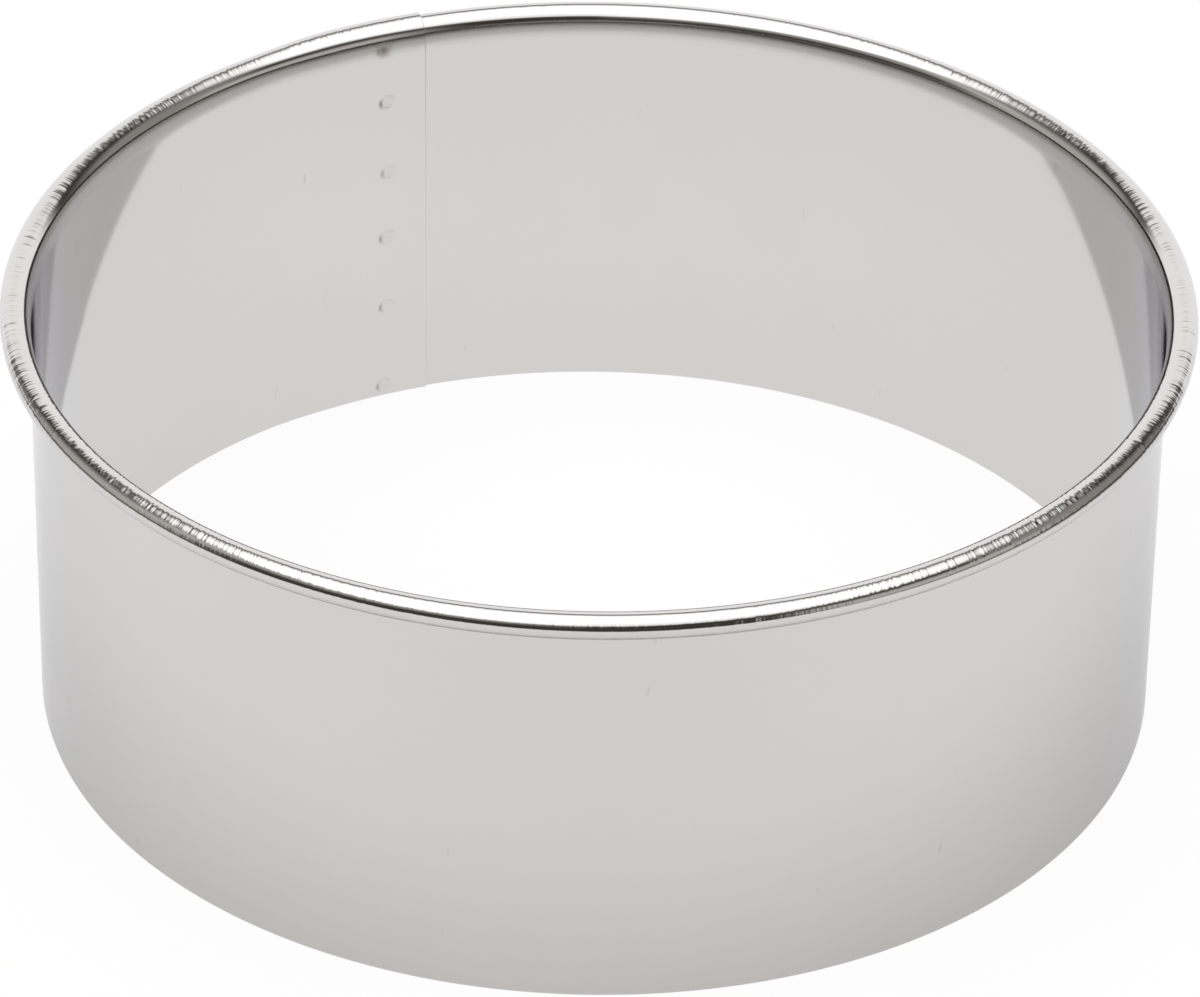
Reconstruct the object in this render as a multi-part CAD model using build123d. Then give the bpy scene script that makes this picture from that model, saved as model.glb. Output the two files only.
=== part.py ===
from build123d import *
import os
from math import asin, degrees, radians, sin, cos

# Plain round pastry cutter, open at both ends. One strip of thin steel is bent into a ring,
# lapped and spot welded at the seam. Its lower edge is cut plain. Its upper edge is curled
# outwards round a ring of wire, so that the rim is stiff and kind to the hand.
# Millimetres and degrees. The axis is Z and the cutting edge lies at Z = 0.
# Azimuths are measured about Z from +X.

# The ring
cutting_diameter = 100.0
height = 39.85
sheet = 0.2

# The bends, the wire and the welds are so small that a few short flats draw them round
neck_flat_count = 3
shoulder_flat_count = 3
curl_flat_count = 9
round_flat_count = 10

# The rolled rim: a soft neck leads the wall outwards, a wide shoulder takes it up to the top,
# and a tight curl goes on from there round the wire
wire_diameter = 1.85
wire_clearance = 0.025
neck_radius = 5.5
neck_turn = 15.5
shoulder_radius = 1.4
curl_turn = 216.0

# The wire ring, whose two ends butt with a small gap opposite the seam
wire_end_gap = 0.4
wire_joint_azimuth = 294.5

# The lapped seam: the strip's inner end lies inside its outer end
seam_azimuth = 109.5
lap_width = 8.7
lap_gap = 0.02
joggle_run = 8.7
joggle_sections = 11

# The spot welds, each dented on both faces by the electrodes' tips
weld_diameter = 1.4
weld_fit = 0.01
weld_edge = 0.35
weld_overrun = 0.2
dent_depth = 0.06
dent_floor_diameter = 0.9

# The welds were set by hand: share of the way up the column, share of the way across the lap
weld_shares = (
    (0.0, 0.51),
    (0.24, 0.47),
    (0.447, 0.463),
    (0.64, 0.435),
    (0.847, 0.45),
    (1.0, 0.48),
)
# The highest weld reaches this share of the neck's turn
top_weld_turn_share = 0.3

# Sizes that follow from those above
outer_radius = cutting_diameter / 2
inner_radius = outer_radius - sheet
wire_radius = wire_diameter / 2
curl_radius = wire_radius + wire_clearance + sheet
rim_height = height - curl_radius
shoulder_height = height - shoulder_radius
shoulder_turn = 90 - neck_turn
neck_reach = neck_radius - shoulder_radius
neck_height = shoulder_height - neck_reach * sin(radians(neck_turn))
neck_centre = inner_radius + neck_radius
rim_radius = neck_centre - neck_reach * cos(radians(neck_turn))
strip_middle = curl_radius - sheet / 2
lap_lift = sheet + lap_gap
lap_angle = degrees(lap_width / inner_radius)
joggle_angle = degrees(joggle_run / inner_radius)
weld_radius = weld_diameter / 2
lap_inner_bend = neck_radius + lap_lift
lap_outer_bend = neck_radius - sheet
lowest_weld = weld_edge + weld_radius
highest_weld = neck_height + lap_inner_bend * sin(radians(top_weld_turn_share * neck_turn))


def bend(centre, radius, start, turn, flats):
    """A bend of the section as equal flats about its centre, clockwise from a start angle."""
    angles = [radians(start - turn * i / flats) for i in range(flats + 1)]
    return Polyline([(centre[0] + radius * cos(a), centre[1] + radius * sin(a)) for a in angles])


def neck_line(radius):
    """The neck, from the top of the wall outwards."""
    return bend((neck_centre, neck_height), radius, 180, neck_turn, neck_flat_count)


def shoulder_line(radius):
    """The shoulder, from the end of the neck to the top."""
    centre = (rim_radius, shoulder_height)
    return bend(centre, radius, 90 + shoulder_turn, shoulder_turn, shoulder_flat_count)


def curl_line(radius, turn):
    """The curl about the wire, from the top."""
    return bend((rim_radius, rim_height), radius, 90, turn, curl_flat_count)


def curl_turn_at(lift):
    """How far the curl turns on a lift. The strip is equally wide everywhere, so wider is less far."""
    longer = radians(neck_turn + shoulder_turn) * lift
    return degrees((radians(curl_turn) * strip_middle - longer) / (strip_middle + lift))


def strip_section(lift):
    """Cross-section of the strip, lifted inwards off the base layer and so round wider bends."""
    inside = inner_radius - lift
    outside = inside + sheet
    turn = curl_turn_at(lift)
    outer_curl = curl_line(curl_radius + lift, turn)
    inner_curl = curl_line(curl_radius + lift - sheet, turn)
    outline = [
        Line((inside, 0), (inside, neck_height)),
        neck_line(neck_radius + lift),
        shoulder_line(shoulder_radius + lift),
        outer_curl,
        Line(outer_curl @ 1, inner_curl @ 1),
        inner_curl,
        shoulder_line(shoulder_radius + lift - sheet),
        neck_line(neck_radius + lift - sheet),
        Line((outside, neck_height), (outside, 0)),
        Line((outside, 0), (inside, 0)),
    ]
    return Plane.XZ * make_face(outline)


def joggle():
    """The stretch where the inner end steps out to the base layer, smooth at both its ends."""
    sections = []
    for i in range(joggle_sections):
        s = i / (joggle_sections - 1)
        lift = lap_lift * (1 - s * s * (3 - 2 * s))
        azimuth = seam_azimuth + lap_angle + s * joggle_angle
        sections.append(Rot(0, 0, azimuth) * strip_section(lift))
    return loft(sections)


def turn_of(section, start, arc):
    """Revolve a section about the ring's axis from a start azimuth."""
    return Rot(0, 0, start) * revolve(section, Axis.Z, arc)


def lapped_strip():
    """The whole strip, from its inner end round to its outer end."""
    joggle_end = seam_azimuth + lap_angle + joggle_angle
    inner_end = turn_of(strip_section(lap_lift), seam_azimuth, lap_angle)
    round_the_ring = turn_of(strip_section(0), joggle_end, 360 - joggle_angle)
    return inner_end + joggle() + round_the_ring


def weld_frame(up, across):
    """Where a weld sits: X runs inwards through the lap, square to it, from the neck's centre line."""
    level = lowest_weld + up * (highest_weld - lowest_weld)
    above_wall = max(level - neck_height, 0)
    tilt = degrees(asin(above_wall / lap_inner_bend))
    azimuth = seam_azimuth + across * lap_angle
    return Rot(0, 0, azimuth) * Pos(neck_centre, 0, level - above_wall) * Rot(0, 180 + tilt, 0)


def weld_outline(distance, radius):
    """A weld's round outline, square to its axis, at a distance along it."""
    return Plane.YZ.offset(distance) * RegularPolygon(radius, round_flat_count)


def weld_pin(start, end, radius):
    """A round pin along a weld's axis."""
    return extrude(weld_outline(start, radius), end - start)


def dent(face, depth):
    """An electrode's dent in a weld's face: a flat floor inside a bevelled rim."""
    rim = weld_outline(face, weld_radius)
    floor = weld_outline(face + depth, dent_floor_diameter / 2)
    return loft([rim, floor], ruled=True)


def weld_plug():
    """A plug of fused steel through both layers, along X."""
    plug = weld_pin(lap_outer_bend, lap_inner_bend, weld_radius)
    return plug - dent(lap_outer_bend, dent_depth) - dent(lap_inner_bend, -dent_depth)


def weld_hole():
    """The hole that a weld fills, along X, from just behind the lap to just inside it."""
    start = lap_outer_bend - weld_overrun
    end = lap_inner_bend + weld_overrun
    return weld_pin(start, end, weld_radius + weld_fit)


def cutter_band():
    """The strip with a hole through both layers at each weld."""
    band = lapped_strip()
    hole = weld_hole()
    for up, across in weld_shares:
        band -= weld_frame(up, across) * hole
    return band


def rim_wire():
    """The ring of wire inside the curl."""
    gap_angle = degrees(wire_end_gap / rim_radius)
    section = Plane.XZ * Pos(rim_radius, rim_height) * RegularPolygon(wire_radius, round_flat_count)
    return turn_of(section, wire_joint_azimuth + gap_angle / 2, 360 - gap_angle)


def spot_welds():
    """One column of welds, each a solid of its own."""
    plug = weld_plug()
    welds = [weld_frame(up, across) * plug for up, across in weld_shares]
    return Compound(children=[weld.solid() for weld in welds])


def main():
    os.makedirs("parts", exist_ok=True)
    pieces = {
        "cutter_band": cutter_band(),
        "rim_wire": rim_wire(),
        "spot_welds": spot_welds(),
    }
    for name, piece in pieces.items():
        export_step(piece, f"parts/{name}.step")


main()
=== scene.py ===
from math import atan2, ceil, cos, exp, hypot, pi, radians, sin

import bmesh
import bpy
from mathutils import Matrix


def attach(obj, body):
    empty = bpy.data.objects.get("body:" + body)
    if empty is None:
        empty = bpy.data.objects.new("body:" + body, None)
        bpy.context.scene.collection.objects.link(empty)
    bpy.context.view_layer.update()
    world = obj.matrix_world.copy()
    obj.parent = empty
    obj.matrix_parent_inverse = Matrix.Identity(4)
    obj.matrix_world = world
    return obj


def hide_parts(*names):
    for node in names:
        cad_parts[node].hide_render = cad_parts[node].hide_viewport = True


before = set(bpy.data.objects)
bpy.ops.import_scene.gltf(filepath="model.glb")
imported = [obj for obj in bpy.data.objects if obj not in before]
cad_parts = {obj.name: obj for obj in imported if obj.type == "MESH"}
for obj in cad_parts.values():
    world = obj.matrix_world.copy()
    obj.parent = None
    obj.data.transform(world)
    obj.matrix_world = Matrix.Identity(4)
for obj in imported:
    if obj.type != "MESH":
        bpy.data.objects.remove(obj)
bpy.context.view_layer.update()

# A plain round pastry cutter of bright stainless steel, with a lapped and spot welded seam and a
# rim that is curled round a ring of wire. Metres and radians. The axis is Z and the cutting edge
# lies at Z = 0. Azimuths are measured about Z from +X.
MM = 0.001

# The ring
outer_radius = 50.0 * MM
height = 39.85 * MM
sheet = 0.2 * MM

# The rolled rim: a soft neck leads the wall outwards, a wide shoulder takes it up to the top, and a
# tight curl goes on from there round the wire
wire_radius = 0.925 * MM
wire_clearance = 0.025 * MM
neck_radius = 5.5 * MM
neck_turn = radians(15.5)
shoulder_radius = 1.4 * MM
curl_turn = radians(216)

# The neck bends more and more sharply: its turn grows with this power of the way along it
neck_growth = 1.5

# The wire ring, whose two ends butt with a small gap opposite the seam
wire_end_gap = 0.4 * MM
wire_joint_azimuth = radians(294.5)

# The lapped seam: the strip's inner end lies inside its outer end
seam_azimuth = radians(109.5)
lap_width = 8.7 * MM
lap_gap = 0.02 * MM
joggle_run = 8.7 * MM

# The sheared edges are rounded by this radius, in so many steps
edge_round = 0.07 * MM
edge_steps = 3

# The spot welds
weld_radius = 0.7 * MM
weld_edge = 0.35 * MM

# Where each weld sits: share of the way up the column, share of the way across the lap
weld_shares = (
    (0.0, 0.51),
    (0.24, 0.47),
    (0.447, 0.463),
    (0.64, 0.435),
    (0.847, 0.45),
    (1.0, 0.48),
)
# The highest weld reaches this share of the neck's turn
top_weld_turn_share = 0.3

# The electrodes dent each weld: how deep in its middle and at its rim, how far the dent goes on
# outside the weld, and how much of the weld is its flat floor
dent_depth = 0.045 * MM
dent_at_rim = 0.015 * MM
dent_reach = 0.22 * MM
dent_floor_share = 0.45

# The welds have painted shade at one side of each dent and a fainter painted shade at the
# other, in the burnt tone of their heat tint. Each arc has a strength, the direction and the
# distance of its middle, seen from inside the ring, and how far it fades along itself and across
# itself.
shade_and_burn_arcs = (
    (1.0, radians(180), 0.62 * MM, radians(38), 0.14 * MM),
    (0.22, radians(60), 0.8 * MM, radians(38), 0.14 * MM),
)

# How strong each weld's painted shade and burn is and how dented it is, from the lowest up,
# and the strength and reach of the painted shade over the highest weld's dent
weld_shade_and_burns = (0.6, 0.65, 0.65, 0.55, 0.9, 0.3)
weld_dents = (1, 0.9, 0.9, 0.9, 0.9, 0.25)
top_dent_shade = 0.75
dent_shade_reach = 0.6 * MM

# How finely the meshes are drawn, by how much of a step a space may be too wide, and the angle
# from which an edge is sharp
ring_step = radians(1)
row_step = 2.0 * MM
neck_rows = 14
shoulder_rows = 14
curl_rows = 36
wire_sides = 24
sharp_angle = radians(40)
step_slack = 0.001

# Each weld sits in a patch of the strip's grid, which rings of points fill from its border inwards.
# The shares are those of the way from the weld's rim to the border, and from its middle to its rim.
patch_cells = 6
neck_patch_cells = 14
patch_half_height = 0.95 * MM
patch_half_width = 1.3 * MM
patch_middle_share = 0.47
patch_ring_shares = (0.62, 0.3)
weld_ring_shares = (1, 0.92, 0.84, 0.76, 0.68, 0.6, 0.4, 0.2)

# Sizes that follow from those above
inner_radius = outer_radius - sheet
curl_radius = wire_radius + wire_clearance + sheet
rim_height = height - curl_radius
shoulder_height = height - shoulder_radius
neck_reach = neck_radius - shoulder_radius
rim_radius = inner_radius + neck_radius - neck_reach * cos(neck_turn)
neck_out = neck_radius * (1 - cos(neck_turn))
neck_length = (neck_growth + 1) * neck_out / neck_turn
neck_rise = neck_length * (1 - neck_turn**2 / (4 * neck_growth + 2))
neck_height = shoulder_height + shoulder_radius * sin(neck_turn) - neck_rise
strip_middle = curl_radius - sheet / 2
lap_lift = sheet + lap_gap
lap_angle = lap_width / inner_radius
joggle_angle = joggle_run / inner_radius
lowest_weld = weld_edge + weld_radius

# The highest weld is placed as on the CAD's round bend, which starts a little higher than this neck
bend_height = shoulder_height - neck_reach * sin(neck_turn)
highest_weld = bend_height + (neck_radius + lap_lift) * top_weld_turn_share * neck_turn


def smooth_step(x):
    x = min(max(x, 0), 1)
    return x * x * (3 - 2 * x)


def lift_at(station):
    """How far the strip lies inwards of the base layer, at an angle from the strip's inner end."""
    return lap_lift * (1 - smooth_step((station - lap_angle) / joggle_angle))


def row_share(level):
    """A height along the strip as a section share: 0 to 1 up the wall, 1 to 2 along the neck."""
    if level <= neck_height:
        return level / neck_height
    return 1 + (level - neck_height) / neck_length


def strip_point(share, lift, depth):
    """Radius and height of a point of the strip, at a depth from its inner face to its outer one.

    Shares from 0 to 1 run up the wall, from 1 to 2 along the neck, from 2 to 3 up the shoulder to
    the top, and from 3 to 4 round the curl. The strip is equally wide everywhere, so a wider curl
    turns less far.
    """
    if share <= 1:
        return inner_radius - lift + depth, share * neck_height
    if share <= 2:
        along = share - 1
        turn = along**neck_growth * neck_turn
        radius = inner_radius + neck_out * along ** (neck_growth + 1) - (lift - depth) * cos(turn)
        rise = neck_length * along * (1 - turn**2 / (4 * neck_growth + 2))
        return radius, neck_height + rise + (lift - depth) * sin(turn)
    if share <= 3:
        turn = pi - neck_turn - (share - 2) * (pi / 2 - neck_turn)
        radius = shoulder_radius + lift - depth
        return rim_radius + radius * cos(turn), shoulder_height + radius * sin(turn)
    turn = pi / 2 - (share - 3) * (curl_turn * strip_middle - lift * pi / 2) / (strip_middle + lift)
    radius = curl_radius + lift - depth
    return rim_radius + radius * cos(turn), rim_height + radius * sin(turn)


def place(station, share, lift, depth):
    """A point of the strip in the frame of the part."""
    radius, level = strip_point(share, lift, depth)
    azimuth = seam_azimuth + station
    return radius * cos(azimuth), radius * sin(azimuth), level


def evenly(start, end, step):
    """Values from start to just before end, evenly spaced and no further apart than a step."""
    count = max(ceil((end - start) / step - step_slack), 1)
    return [start + (end - start) * i / count for i in range(count)]


def weld_places():
    """Station and level of each weld's middle."""
    return [
        (across * lap_angle, lowest_weld + up * (highest_weld - lowest_weld))
        for up, across in weld_shares
    ]


def weld_rows():
    """Section shares of the strip's rows, and the rows between which each weld's patch lies."""
    levels, patches = [], []
    start = 0
    for _, level in weld_places():
        low, high = level - patch_half_height, level + patch_half_height
        cells = patch_cells if high < neck_height else neck_patch_cells
        levels += evenly(start, low, row_step)
        patches.append((len(levels), len(levels) + cells))
        levels += evenly(low, high, (high - low) / cells)
        start = high
    neck_end = neck_height + neck_length
    levels += evenly(start, neck_end, (neck_end - neck_height) / neck_rows)
    shoulder = [2 + i / shoulder_rows for i in range(shoulder_rows)]
    curl = [3 + i / curl_rows for i in range(curl_rows + 1)]
    return [row_share(level) for level in levels] + shoulder + curl, patches


def strip_columns():
    """Stations of the strip's columns, and the columns between which the patches lie."""
    middle = patch_middle_share * lap_angle
    half_angle = patch_half_width / inner_radius
    low, high = middle - half_angle, middle + half_angle
    lap = evenly(0, low, ring_step)
    first = (len(lap), len(lap) + patch_cells)
    lap += evenly(low, high, (high - low) / patch_cells)
    lap += evenly(high, lap_angle, ring_step)
    once_round = lap + evenly(lap_angle, 2 * pi, ring_step)
    last = (first[0] + len(once_round), first[1] + len(once_round))
    again = [2 * pi + station for station in lap]
    return once_round + again + [2 * pi + lap_angle], (first, last)


def linked(name, data):
    """A new object of the scene."""
    made = bpy.data.objects.new(name, data)
    bpy.context.scene.collection.objects.link(made)
    return made


class Shape:
    """Vertices, with how much painted shade and burn each has, and faces of a mesh in the making.
    """

    def __init__(self):
        self.points = []
        self.shade_and_burns = []
        self.faces = []

    def point(self, position, shade_and_burn=0.0):
        self.points.append(position)
        self.shade_and_burns.append(shade_and_burn)
        return len(self.points) - 1

    def ring_faces(self, a, b):
        """Quads between two closed rings of as many points."""
        for i in range(len(a)):
            j = (i + 1) % len(a)
            self.faces.append((a[i], a[j], b[j], b[i]))

    def object(self, name):
        """The finished object, smooth but for its sharp edges."""
        mesh = bpy.data.meshes.new(name)
        mesh.from_pydata(self.points, [], self.faces)
        # Each point keeps how much painted shade and burn it has, for the material
        mesh.attributes.new("shade_and_burn", "FLOAT", "POINT").data.foreach_set("value", self.shade_and_burns)
        work = bmesh.new()
        work.from_mesh(mesh)
        bmesh.ops.recalc_face_normals(work, faces=work.faces)
        for face in work.faces:
            face.smooth = True
        for edge in work.edges:
            edge.smooth = edge.calc_face_angle(0) < sharp_angle
        work.to_mesh(mesh)
        work.free()
        return linked(name, mesh)


def patch_border(columns, rows):
    """Column and row of each point round a patch, in order."""
    (left, right), (low, high) = columns, rows
    border = [(c, low) for c in range(left, right)]
    border += [(right, r) for r in range(low, high)]
    border += [(c, high) for c in range(right, left, -1)]
    border += [(left, r) for r in range(high, low, -1)]
    return border


def weld_circle(weld, border_places):
    """Station and level of the points of a weld's rim, one towards each place on a border."""
    station, level = weld
    circle = []
    for border_station, border_level in border_places:
        towards = atan2(border_level - level, (border_station - station) * inner_radius)
        x = weld_radius * cos(towards)
        circle.append((station + x / inner_radius, level + weld_radius * sin(towards)))
    return circle


def dent_at(distance):
    """Depth of the dent that the electrode leaves, at a distance from the weld's middle."""
    if distance >= weld_radius:
        return dent_at_rim * (1 - smooth_step((distance - weld_radius) / dent_reach))
    share = (distance / weld_radius - dent_floor_share) / (1 - dent_floor_share)
    return dent_at_rim + (dent_depth - dent_at_rim) * (1 - smooth_step(share))


def fade(distance, reach):
    """1 at no distance, fading as a bell curve does."""
    return exp(-((distance / reach) ** 2))


def shade_and_burn_at(number, across, up):
    """How much painted shade and burn the steel has so far across and up from a weld's middle.

    From inside the ring, what lies across is to the left.
    """
    distance, direction = hypot(across, up), atan2(up, -across)
    total = 0
    for strength, towards, middle, along, width in shade_and_burn_arcs:
        # Each arc is painted shade of the weld's dent, darkened in its heat tint's burnt tone
        aside = abs(direction - towards)
        arc = fade(min(aside, 2 * pi - aside), along) * fade(distance - middle, width)
        total += strength * weld_shade_and_burns[number] * arc
    # The highest weld's dent also gets a patch of painted shade over it
    if number == len(weld_shares) - 1:
        total += top_dent_shade * fade(distance, dent_shade_reach)
    return min(total, 1)


def level_of(share):
    """Height along the strip of a section share on the wall or the neck."""
    if share <= 1:
        return share * neck_height
    return neck_height + (share - 1) * neck_length


def add_patch(shape, grid, columns, rows, stations, shares, number, turn):
    """Fills a patch of the strip round a weld's hole, on both faces, and lines the hole."""
    border = patch_border(columns, rows)
    border_places = [(stations[c] - turn, level_of(shares[r])) for c, r in border]
    weld = weld_places()[number]
    circle = weld_circle(weld, border_places)
    lift = lap_lift if turn == 0 else 0
    rims = []
    for face, depth, inwards in ((0, 0, 1), (1, sheet, -1)):
        outer = [grid[face][c][r] for c, r in border]
        dented = (turn == 0) == (face == 0)
        for out_share in (*patch_ring_shares, 0):
            ring = []
            for (a, b), (c, d) in zip(circle, border_places):
                station, level = a + (c - a) * out_share, b + (d - b) * out_share
                across, up = (station - weld[0]) * inner_radius, level - weld[1]
                dent = weld_dents[number] * dent_at(hypot(across, up)) * inwards if dented else 0
                position = place(station + turn, row_share(level), lift, depth + dent)
                ring.append(shape.point(position, shade_and_burn_at(number, across, up)))
            shape.ring_faces(outer, ring)
            outer = ring
        rims.append(outer)
    shape.ring_faces(*rims)


def add_strip_faces(shape, grid, holes):
    """The strip's two faces, but for the cells of the patches, and its four edges."""
    inner, outer = grid
    last_column, last_row = len(inner) - 1, len(inner[0]) - 1
    for c in range(last_column):
        for r in range(last_row):
            if (c, r) not in holes:
                for side in grid:
                    near, far = side[c], side[c + 1]
                    shape.faces.append((near[r], far[r], far[r + 1], near[r + 1]))
        for r in (0, last_row):
            shape.faces.append((inner[c][r], inner[c + 1][r], outer[c + 1][r], outer[c][r]))
    for c in (0, last_column):
        for r in range(last_row):
            shape.faces.append((inner[c][r], inner[c][r + 1], outer[c][r + 1], outer[c][r]))


def steel_band():
    """The strip of sheet, from its inner end round the ring to its outer end over the lap."""
    shares, row_patches = weld_rows()
    stations, column_patches = strip_columns()
    shape = Shape()
    grid = []
    for depth in (0, sheet):
        grid.append([
            [shape.point(place(station, share, lift_at(station), depth)) for share in shares]
            for station in stations
        ])
    holes = set()
    for left, right in column_patches:
        for low, high in row_patches:
            holes |= {(c, r) for c in range(left, right) for r in range(low, high)}
    add_strip_faces(shape, grid, holes)
    for columns, turn in zip(column_patches, (0, 2 * pi)):
        for number, rows in enumerate(row_patches):
            add_patch(shape, grid, columns, rows, stations, shares, number, turn)
    edges = [column[r] for side in grid for column in side for r in (0, -1)]
    edges += [point for side in grid for column in (side[0], side[-1]) for point in column]
    piece = shape.object("steel_band")
    round_edges(piece, edges)
    return piece


def round_edges(piece, points):
    """Rounds the sharp edges between the points given, as tumbling leaves sheared steel."""
    work = bmesh.new()
    work.from_mesh(piece.data)
    work.verts.ensure_lookup_table()
    chosen = {work.verts[i] for i in points}
    weight = work.edges.layers.float.new("bevel_weight_edge")
    for edge in work.edges:
        if not edge.smooth and chosen.issuperset(edge.verts):
            edge[weight] = 1
            edge.smooth = True
    work.to_mesh(piece.data)
    work.free()
    bevel = piece.modifiers.new("edge_round", "BEVEL")
    bevel.limit_method = "WEIGHT"
    bevel.width = edge_round
    bevel.segments = edge_steps
    bevel.harden_normals = True


def add_weld_face(shape, number, circle, lift, depth, inwards):
    """One dished face of a weld, as rings from its rim to its middle. Returns its rim."""
    middle_station, middle_level = weld_places()[number]
    rings = []
    for share in weld_ring_shares:
        dent = weld_dents[number] * dent_at(share * weld_radius) * inwards
        ring = []
        for rim_station, rim_level in circle:
            across, up = (rim_station - middle_station) * share, (rim_level - middle_level) * share
            level = middle_level + up
            position = place(middle_station + across, row_share(level), lift, depth + dent)
            ring.append(shape.point(position, shade_and_burn_at(number, across * inner_radius, up)))
        rings.append(ring)
    for outer, inner in zip(rings, rings[1:]):
        shape.ring_faces(outer, inner)
    dent = weld_dents[number] * dent_at(0) * inwards
    middle = place(middle_station, row_share(middle_level), lift, depth + dent)
    tip = shape.point(middle, shade_and_burn_at(number, 0, 0))
    last = rings[-1]
    for i in range(len(last)):
        shape.faces.append((last[i], last[(i + 1) % len(last)], tip))
    return rings[0]


def weld_nuggets():
    """The spot welds, each filling its hole through both layers, dished on both faces."""
    shape = Shape()
    shares, row_patches = weld_rows()
    stations, column_patches = strip_columns()
    for number, (rows, weld) in enumerate(zip(row_patches, weld_places())):
        border = patch_border(column_patches[0], rows)
        circle = weld_circle(weld, [(stations[c], level_of(shares[r])) for c, r in border])
        inner_rim = add_weld_face(shape, number, circle, lap_lift, 0, 1)
        outer_rim = add_weld_face(shape, number, circle, 0, sheet, -1)
        shape.ring_faces(inner_rim, outer_rim)
    return shape.object("weld_nuggets")


def wire_ring():
    """The ring of wire inside the curl, with its two butted ends."""
    shape = Shape()
    gap = wire_end_gap / rim_radius
    start = wire_joint_azimuth + gap / 2
    turn = 2 * pi - gap
    count = round(turn / ring_step)
    rings = []
    for i in range(count + 1):
        azimuth = start + turn * i / count
        ring = []
        for k in range(wire_sides):
            angle = 2 * pi * k / wire_sides
            radius = rim_radius + wire_radius * cos(angle)
            level = rim_height + wire_radius * sin(angle)
            ring.append(shape.point((radius * cos(azimuth), radius * sin(azimuth), level)))
        rings.append(ring)
    for a, b in zip(rings, rings[1:]):
        shape.ring_faces(a, b)
    shape.faces.append(tuple(rings[0]))
    shape.faces.append(tuple(rings[-1]))
    return shape.object("wire_ring")


def node(tree, kind, inputs=(), **settings):
    """Adds a node. Its inputs are given by name or number, as values or as sockets to link."""
    made = tree.nodes.new(kind)
    for key, value in settings.items():
        setattr(made, key, value)
    for key, value in dict(inputs).items():
        if isinstance(value, bpy.types.NodeSocket):
            tree.links.new(value, made.inputs[key])
        else:
            made.inputs[key].default_value = value
    return made


def math_node(tree, operation, *values):
    """A sum on numbers."""
    return node(tree, "ShaderNodeMath", enumerate(values), operation=operation).outputs[0]


def vector_node(tree, operation, *values):
    """A sum on vectors, with a vector for its result."""
    return node(tree, "ShaderNodeVectorMath", enumerate(values), operation=operation).outputs[0]


def length_of(tree, vector):
    made = node(tree, "ShaderNodeVectorMath", {0: vector}, operation="LENGTH")
    return made.outputs["Value"]


def scaled(tree, vector, factor):
    inputs = {0: vector, "Scale": factor}
    return node(tree, "ShaderNodeVectorMath", inputs, operation="SCALE").outputs[0]


def split(tree, vector):
    """The three parts of a vector."""
    return node(tree, "ShaderNodeSeparateXYZ", {0: vector}).outputs


def mixed_colour(tree, share, first, second):
    inputs = {0: share, 6: first, 7: second}
    return node(tree, "ShaderNodeMix", inputs, data_type="RGBA").outputs[2]


def mixed_value(tree, share, first, second):
    return node(tree, "ShaderNodeMix", {0: share, 2: first, 3: second}).outputs[0]


def mixed_shader(tree, share, first, second):
    return node(tree, "ShaderNodeMixShader", {0: share, 1: first, 2: second}).outputs[0]


def object_position(tree):
    return node(tree, "ShaderNodeTexCoord").outputs["Object"]


def between(tree, value, low, high, start=0.0, end=1.0):
    """Goes smoothly from start to end as the value goes from low to high."""
    inputs = {0: value, 1: low, 2: high, 3: start, 4: end}
    return node(tree, "ShaderNodeMapRange", inputs, interpolation_type="SMOOTHSTEP").outputs[0]


def ray_is(tree, *kinds):
    """1 for rays of the kinds named, as the Light Path node calls them, else 0."""
    path = node(tree, "ShaderNodeLightPath")
    found = path.outputs[f"Is {kinds[0]} Ray"]
    for kind in kinds[1:]:
        found = math_node(tree, "MAXIMUM", found, path.outputs[f"Is {kind} Ray"])
    return found


# Bright stainless steel: its colour seen square on, and its tint at grazing angles
steel_colour = (0.612, 0.607, 0.59, 1)
steel_edge_tint = (0.9, 0.9, 0.93, 1)

# Each piece's roughness, and the height of its grain
band_finish = (0.07, 0.001 * MM)
wire_finish = (0.2, 0.002 * MM)
weld_finish = (0.2, 0.002 * MM)

# How many grains lie in a length, across them and along them
grain_across = 3.0 / MM
grain_along = 0.06 / MM
grain_detail = 4.0

# Rolling leaves fine marks across the rim: how many there are in a length, how uneven they are, how
# far they tilt the surface, and where they begin, from the middle of the rim outwards
mark_across = 4.6 / MM
mark_along = 0.2 / MM
mark_detail = 2.0
mark_unevenness = 0.75
mark_tilt = 0.5
mark_reach = (-1.05 * MM, -0.6 * MM)

# The bend below the rim is duller than the wall, and the rim is a little duller too. Each starts
# over a range of heights.
neck_roughness = 0.2
neck_start = (36.7 * MM, 37.5 * MM)
rim_roughness = 0.11
rim_start = (38.2 * MM, 38.9 * MM)

# Sparse scuffs up the wall: how many there could be in a length, how strong the noise must be, and
# how dark it makes them
scuff_across = 2.2 / MM
scuff_along = 0.4 / MM
scuff_detail = 0.0
scuff_from = (0.84, 0.95)
scuff_strength = 0.15

# Faint patches of a warmer tone: their colour and size, and where they start in the noise
warm_colour = (0.619, 0.604, 0.59, 1)
warm_size = 9 * MM
warm_detail = 1.0
warm_from = (0.4, 0.6)

# The colour of the painted shade round the welds, in the burnt tone that welding leaves
shade_and_burn_colour = (0.17, 0.14, 0.11, 1)


def grain_coordinates(tree, across, along):
    """Coordinates that count how many grains lie round the ring and how many along the strip."""
    position = object_position(tree)
    around = vector_node(tree, "NORMALIZE", vector_node(tree, "MULTIPLY", position, (1, 1, 0)))
    level = vector_node(tree, "MULTIPLY", position, (0, 0, along))
    return vector_node(tree, "ADD", scaled(tree, around, outer_radius * across), level)


def streaks(tree, across, along, detail, unevenness=0.5):
    """Noise drawn out along the strip, so many to a length across it and along it."""
    counted = grain_coordinates(tree, across, along)
    inputs = {"Vector": counted, "Scale": 1.0, "Detail": detail, "Roughness": unevenness}
    return node(tree, "ShaderNodeTexNoise", inputs).outputs[0]


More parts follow.
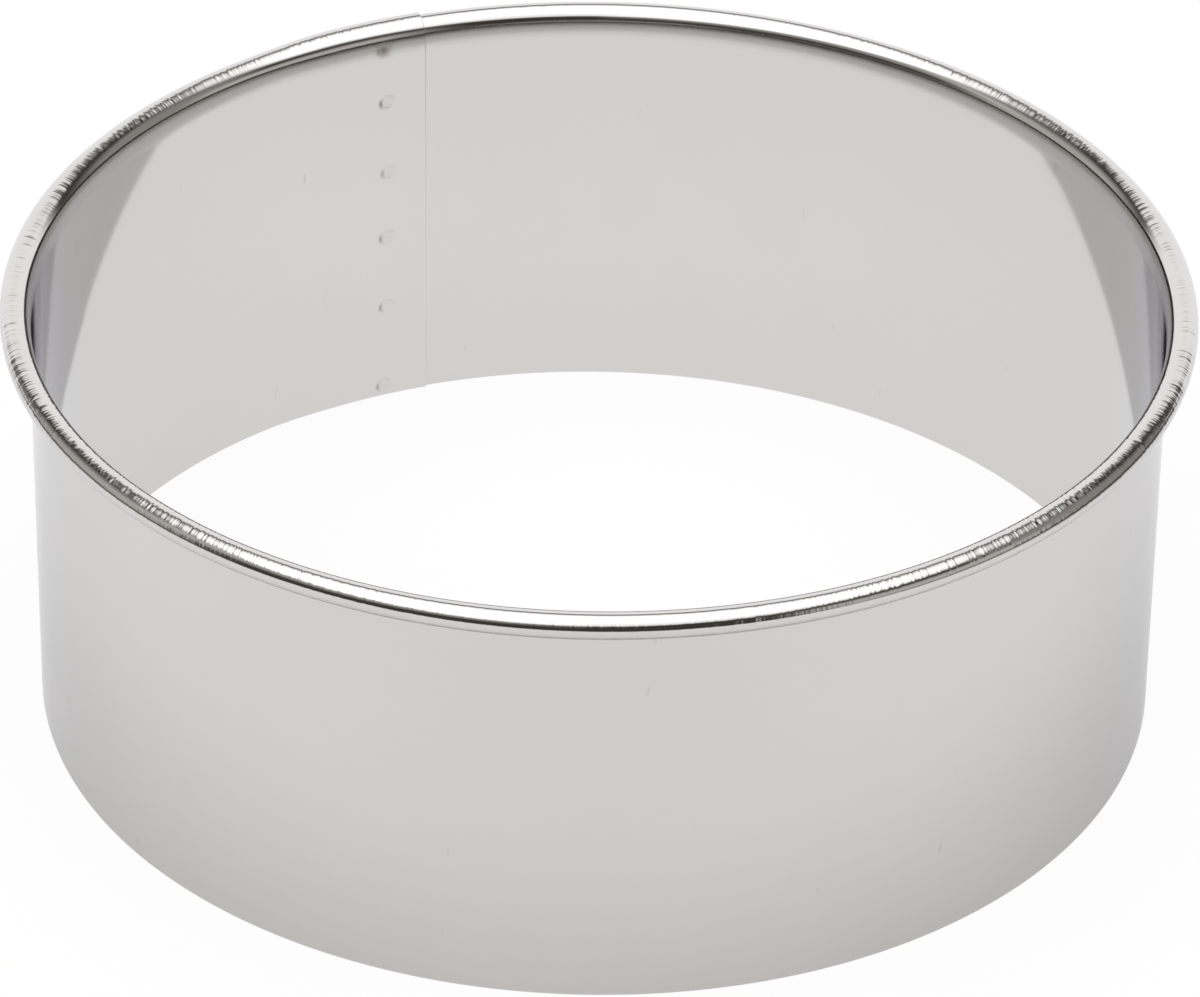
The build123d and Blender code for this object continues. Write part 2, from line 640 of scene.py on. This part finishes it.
def rolled(tree, normal):
    """Tilts the surface along the ring, as the marks across the rolled rim do."""
    sideways = vector_node(tree, "CROSS_PRODUCT", (0, 0, 1), object_position(tree))
    along = vector_node(tree, "NORMALIZE", sideways)
    start, end = (rim_radius + reach for reach in mark_reach)
    most = between(tree, length_of(tree, sideways), start, end, 0.0, mark_tilt)
    marks = streaks(tree, mark_across, mark_along, mark_detail, mark_unevenness)
    tilt = math_node(tree, "MULTIPLY", math_node(tree, "SUBTRACT", marks, 0.5), most)
    total = vector_node(tree, "ADD", normal, scaled(tree, along, tilt))
    return vector_node(tree, "NORMALIZE", total)


def toned(tree):
    """The steel's colour, with its faint patches, its scuffs, and the painted shade and burns round
    the welds.
    """
    inputs = {"Vector": object_position(tree), "Scale": 1 / warm_size, "Detail": warm_detail}
    noise = node(tree, "ShaderNodeTexNoise", inputs).outputs[0]
    patchy = mixed_colour(tree, between(tree, noise, *warm_from), steel_colour, warm_colour)
    # The painted shade and burn round the welds, kept on the mesh's points
    shade_and_burn = node(tree, "ShaderNodeAttribute", attribute_name="shade_and_burn").outputs["Fac"]
    scuffs = streaks(tree, scuff_across, scuff_along, scuff_detail)
    scuff = between(tree, scuffs, *scuff_from, 0.0, scuff_strength)
    return mixed_colour(tree, math_node(tree, "MAXIMUM", shade_and_burn, scuff), patchy, shade_and_burn_colour)


def steel(name, roughness, grain):
    """Stainless steel with a fine grain that runs up the wall and across the rim."""
    material = bpy.data.materials.new(name)
    material.use_nodes = True
    tree = material.node_tree
    shader = tree.nodes["Principled BSDF"]
    tree.links.new(toned(tree), shader.inputs["Base Color"])
    shader.inputs["Specular Tint"].default_value = steel_edge_tint
    shader.inputs["Metallic"].default_value = 1
    level = split(tree, object_position(tree))[2]
    to_neck = between(tree, level, *neck_start, roughness, max(roughness, neck_roughness))
    to_rim = between(tree, level, *rim_start, to_neck, rim_roughness)
    tree.links.new(to_rim, shader.inputs["Roughness"])
    fine = streaks(tree, grain_across, grain_along, grain_detail)
    grained = node(tree, "ShaderNodeBump", {"Strength": 1, "Distance": grain, "Height": fine})
    tree.links.new(rolled(tree, grained.outputs[0]), shader.inputs["Normal"])
    return material


# The studio, as the ring sees it: brightness 1 mirrors in the steel as the steel's own colour
pure_white = (1, 1, 1, 1)
light_colour = (1.0, 1.0, 1.0)
room_colour = (1.0, 0.92, 0.8)
panel_colour = (1.0, 0.97, 0.94)

# A soft light overhead, an ellipse on a level plane. Sizes and places are shares of its height. It
# is brighter to the left, and dimmer in front: two places along it, and its share of light at each.
overhead_light = 1.8
overhead_slant = 0.12
overhead_middle = (-0.01, -0.53, 1.0)
overhead_radii = (1.18, 1.25, 1.0)
overhead_edge = (0.7, 1.25)
overhead_front = (-0.8, 0.1, 0.7, 1.0)

# A pale backdrop behind, narrower higher up. Its edges are shares of its distance.
backdrop_light = 1.15
backdrop_top = (0.65, 1.05)
backdrop_side = (0.9, 1.35)
backdrop_narrowing = 0.4

# Grey panels round the table: light, azimuth of the middle from the back, and where the sides, the
# foot and the top fade, in degrees
panels = (
    (0.5, -80, (12, 34), (-9, 0), (12, 48)),
    (0.55, 121, (11, 34), (-14, -4), (9, 27)),
    (0.28, 82, (12, 30), (-9, 0), (26, 54)),
    (0.4, -135, (25, 65), (8, 28), (32, 55)),
)

room_light = 0.06

# Every ray counts as coming at least this much nearer to a plane, so it meets it, if only far off
least_approach = 0.001


def ray_direction(tree):
    return node(tree, "ShaderNodeTexCoord").outputs["Generated"]


def world_axis(tree, x, y, z):
    """The part of the ray's direction along an axis."""
    inputs = {0: ray_direction(tree), 1: (x, y, z)}
    return node(tree, "ShaderNodeVectorMath", inputs, operation="DOT_PRODUCT").outputs["Value"]


def on_plane(tree, along):
    """Where the ray meets a plane at distance 1, from how far it goes along the plane's axis."""
    approach = math_node(tree, "MAXIMUM", along, least_approach)
    return scaled(tree, ray_direction(tree), math_node(tree, "DIVIDE", 1.0, approach))


def overhead(tree):
    """How much of the overhead light the ray meets."""
    met = on_plane(tree, world_axis(tree, 0, 0, 1))
    offset = vector_node(tree, "SUBTRACT", met, overhead_middle)
    reach = length_of(tree, vector_node(tree, "DIVIDE", offset, overhead_radii))
    across, ahead, _ = split(tree, offset)
    slanted = math_node(tree, "MULTIPLY_ADD", across, -overhead_slant, 1.0)
    uneven = math_node(tree, "MULTIPLY", slanted, between(tree, ahead, *overhead_front))
    return math_node(tree, "MULTIPLY", uneven, between(tree, reach, *overhead_edge, 1.0, 0.0))


def backdrop(tree):
    """How much of the backdrop the ray meets."""
    ahead = world_axis(tree, 0, 1, 0)
    met = on_plane(tree, ahead)
    towards = math_node(tree, "GREATER_THAN", ahead, 0.0)
    across, _, up = split(tree, met)
    below_top = between(tree, up, *backdrop_top, 1.0, 0.0)
    narrowed = math_node(tree, "MULTIPLY", math_node(tree, "MAXIMUM", up, 0.0), backdrop_narrowing)
    width = math_node(tree, "ADD", math_node(tree, "ABSOLUTE", across), narrowed)
    within = math_node(tree, "MULTIPLY", between(tree, width, *backdrop_side, 1.0, 0.0), towards)
    return math_node(tree, "MULTIPLY", below_top, within)


def panel(tree, middle, width, foot, top):
    """How much of the panel at an azimuth the ray meets."""
    azimuth = math_node(tree, "ARCTAN2", world_axis(tree, 1, 0, 0), world_axis(tree, 0, 1, 0))
    turn = math_node(tree, "SUBTRACT", math_node(tree, "DEGREES", azimuth), middle)
    away = math_node(tree, "ABSOLUTE", turn)
    elevation = math_node(tree, "DEGREES", math_node(tree, "ARCSINE", world_axis(tree, 0, 0, 1)))
    within = between(tree, away, *width, 1.0, 0.0)
    above = math_node(tree, "MULTIPLY", within, between(tree, elevation, *foot))
    return math_node(tree, "MULTIPLY", above, between(tree, elevation, *top, 1.0, 0.0))


def studio_world():
    """The lights round the ring, in a dim room. The camera sees white."""
    world = bpy.data.worlds.new("studio")
    bpy.context.scene.world = world
    world.use_nodes = True
    tree = world.node_tree
    lights = [
        (light_colour, overhead(tree), overhead_light),
        (light_colour, backdrop(tree), backdrop_light),
    ]
    for light, *edges in panels:
        lights.append((panel_colour, panel(tree, *edges), light))
    total = scaled(tree, room_colour, room_light)
    for colour, share, light in lights:
        lit = scaled(tree, colour, math_node(tree, "MULTIPLY", share, light))
        total = vector_node(tree, "ADD", total, lit)
    room = node(tree, "ShaderNodeBackground", {0: total, 1: 1.0}).outputs[0]
    white = node(tree, "ShaderNodeBackground", {0: pure_white, 1: 1.0}).outputs[0]
    shown = mixed_shader(tree, ray_is(tree, "Camera"), room, white)
    tree.links.new(shown, tree.nodes["World Output"].inputs[0])


# The floor is pale. The camera sees it mostly as white light, and the rest keeps a soft shadow.
# The steel mirrors a share of it as white light too, a larger one inside the ring and behind it,
# and the light is brighter further back.
floor_colour = (0.925, 0.925, 0.925, 1)
floor_reach = 4.0
floor_camera_white = 0.92
floor_mirrored_white = (0.08, 0.85)
floor_behind = (0.05, 0.09)
floor_mirrored_light = (1.068, 1.25)
floor_mirrored_from = (0.0, 0.25)

# In the steel the floor is a table, which ends in front and at the sides and widens towards the
# back. Its side edge fades between two shares of its half width.
table_front = (-0.2, -0.17)
table_middle = -0.015
table_half_width = 0.17
table_widening = 1.6
table_side = (0.72, 1.35)


def table_share(tree, across, ahead):
    """1 on the table, 0 beyond its edges."""
    widened = math_node(tree, "MULTIPLY", ahead, table_widening)
    half_width = math_node(tree, "MAXIMUM", widened, table_half_width)
    aside = math_node(tree, "ABSOLUTE", math_node(tree, "SUBTRACT", across, table_middle))
    share = math_node(tree, "DIVIDE", aside, half_width)
    in_width = between(tree, share, *table_side, 1.0, 0.0)
    return math_node(tree, "MULTIPLY", in_width, between(tree, ahead, *table_front))


def white_share(tree, away, ahead, mirrored):
    """How much of the floor shows as white light, to the camera and in the steel."""
    inside = math_node(tree, "LESS_THAN", away, outer_radius)
    open_floor = math_node(tree, "MAXIMUM", inside, between(tree, ahead, *floor_behind))
    in_steel = mixed_value(tree, open_floor, *floor_mirrored_white)
    to_camera = math_node(tree, "MULTIPLY", ray_is(tree, "Camera"), floor_camera_white)
    return math_node(tree, "ADD", math_node(tree, "MULTIPLY", mirrored, in_steel), to_camera)


def pale_floor():
    """The floor's material. Beyond the table, the steel mirrors the room below it."""
    material = bpy.data.materials.new("pale_floor")
    material.use_nodes = True
    tree = material.node_tree
    position = node(tree, "ShaderNodeNewGeometry").outputs["Position"]
    across, ahead, _ = split(tree, position)
    mirrored = ray_is(tree, "Glossy", "Transmission")
    share = white_share(tree, length_of(tree, position), ahead, mirrored)
    brighter = between(tree, ahead, *floor_mirrored_from, *floor_mirrored_light)
    strength = mixed_value(tree, mirrored, 1.0, brighter)
    diffuse = node(tree, "ShaderNodeBsdfDiffuse", {0: floor_colour}).outputs[0]
    white = node(tree, "ShaderNodeEmission", {0: pure_white, 1: strength}).outputs[0]
    pale = mixed_shader(tree, share, diffuse, white)
    see_through = node(tree, "ShaderNodeBsdfTransparent").outputs[0]
    beyond = math_node(tree, "SUBTRACT", 1.0, table_share(tree, across, ahead))
    seen_through = math_node(tree, "MULTIPLY", mirrored, beyond)
    shown = mixed_shader(tree, seen_through, pale, see_through)
    tree.links.new(shown, tree.nodes["Material Output"].inputs[0])
    return material


def studio_floor():
    """A wide pale floor that keeps the object's soft shadow."""
    mesh = bpy.data.meshes.new("floor")
    r = floor_reach
    mesh.from_pydata([(-r, -r, 0), (r, -r, 0), (r, r, 0), (-r, r, 0)], [], [(0, 1, 2, 3)])
    mesh.materials.append(pale_floor())
    linked("floor", mesh)


# The photograph's camera, as it was fitted to the outline
camera_back = 0.52
camera_height = 0.355519
camera_pitch = 0.576074
camera_roll = 0.014268
camera_pan = 0.000601
camera_lens = 207.997
sensor_width = 36.0


def photo_camera():
    """The camera at the photograph's place, looking down at the ring from the front."""
    data = bpy.data.cameras.new("camera")
    data.sensor_fit = "HORIZONTAL"
    data.sensor_width = sensor_width
    data.lens = camera_lens
    camera = linked("camera", data)
    stood = Matrix.Translation((0, -camera_back, camera_height))
    panned = Matrix.Rotation(-camera_pan, 4, "Z")
    pitched = Matrix.Rotation(pi / 2 - camera_pitch, 4, "X")
    tilted = Matrix.Rotation(camera_roll, 4, "Z")
    camera.matrix_world = stood @ panned @ pitched @ tilted
    bpy.context.scene.camera = camera


band = steel_band()
wire = wire_ring()
welds = weld_nuggets()
for piece, cad_node, slot, finish in (
    (band, "cutter_band", "band_steel", band_finish),
    (wire, "rim_wire", "wire_steel", wire_finish),
    (welds, "spot_welds", "weld_steel", weld_finish),
):
    piece.data.materials.append(steel(slot + "_finish", *finish))
    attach(piece, "root")
    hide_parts(cad_node)

studio_world()
studio_floor()
photo_camera()
bpy.context.scene.view_settings.view_transform = "Standard"
